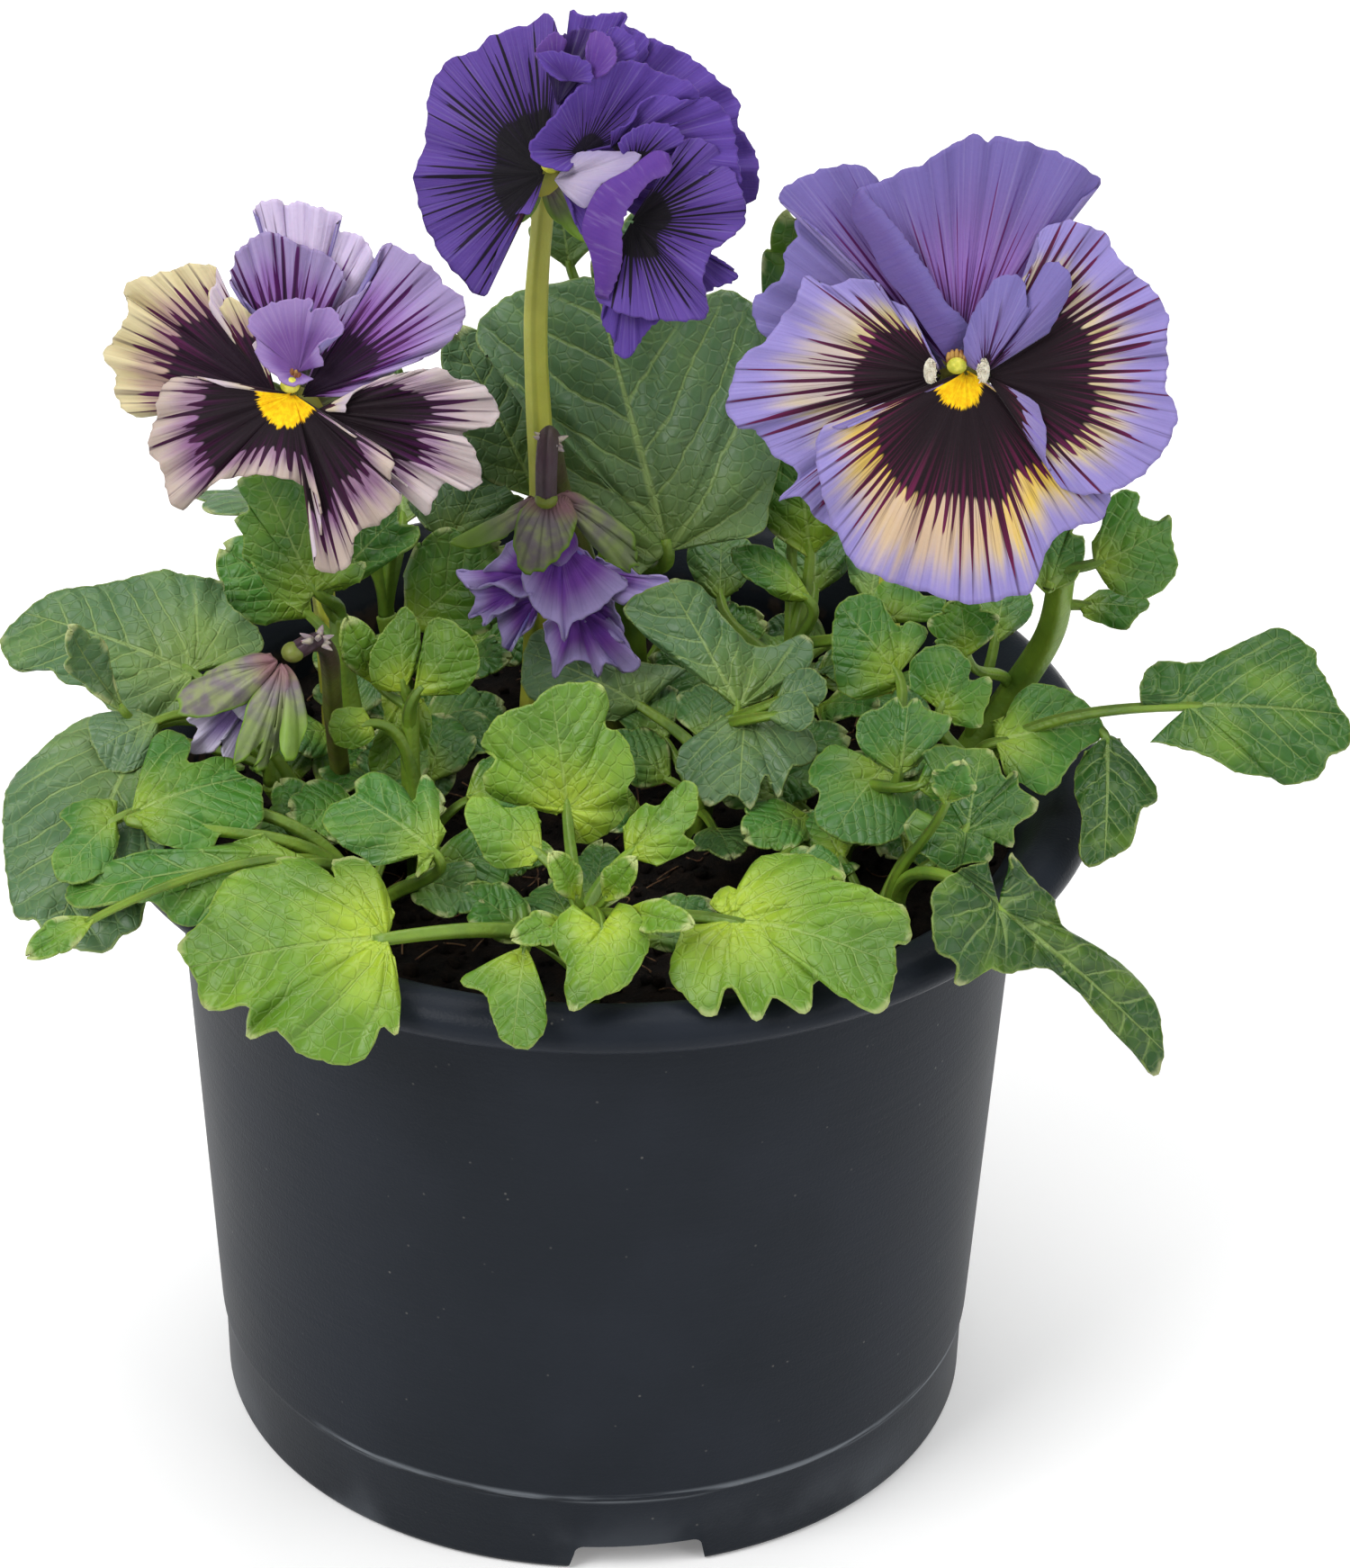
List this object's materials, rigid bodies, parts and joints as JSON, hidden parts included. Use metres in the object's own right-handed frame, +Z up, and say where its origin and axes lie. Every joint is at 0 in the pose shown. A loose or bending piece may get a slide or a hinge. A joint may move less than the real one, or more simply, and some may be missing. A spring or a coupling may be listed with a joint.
{
  "type": "potted horned violet",
  "caption": "Bushy horned violet with ruffled blooms, hanging buds and lobed leaves, growing in peat in a round tapered nursery pot with a rolled lip and a notched foot.",
  "frame": {"origin": "middle of the pot's flat underside, on the pot's axis", "axes": "+Z up along the pot's axis, -Y towards the side the blooms face, +X to the right of someone who looks at the blooms"},
  "size_m": [0.1719, 0.1435, 0.1907],
  "materials": {
    "pot_plastic": "satin charcoal, faint dust",
    "peat": "rough, crumbly",
    "young_leaf": "soft satin, pale veins",
    "mid_leaf": "soft satin, pale veins",
    "old_leaf": "soft satin with a grey bloom",
    "stalk": "soft satin",
    "lavender_petal": "velvety, dark centre with yellow",
    "violet_petal": "velvety, black rays",
    "pale_petal": "velvety, dark centre with cream"
  },
  "bodies": {
    "root": {"pot": "pot_plastic", "peat": "peat", "front_rosette": "young_leaf", "front_left_shoot": "mid_leaf", "left_shoot": "old_leaf", "inner_left_shoot": "young_leaf", "left_back_shoot": "mid_leaf", "tall_shoot": "old_leaf", "centre_shoot": "old_leaf", "middle_back_shoot": "mid_leaf", "right_inner_shoot": "mid_leaf", "right_shoot": "mid_leaf", "front_right_shoot": "old_leaf", "right_back_shoot": "mid_leaf", "back_left_shoot": "old_leaf", "back_shoot": "mid_leaf", "back_right_shoot": "old_leaf", "right_bloom_stalk": "stalk", "right_bloom": "lavender_petal", "middle_bloom_stalk": "stalk", "middle_bloom": "violet_petal", "left_bloom_stalk": "stalk", "left_bloom": "pale_petal", "hanging_bud_stalk": "stalk", "hanging_bud": "violet_petal", "left_bud_stalk": "stalk", "left_bud": "pale_petal"}
  },
  "joints": []
}
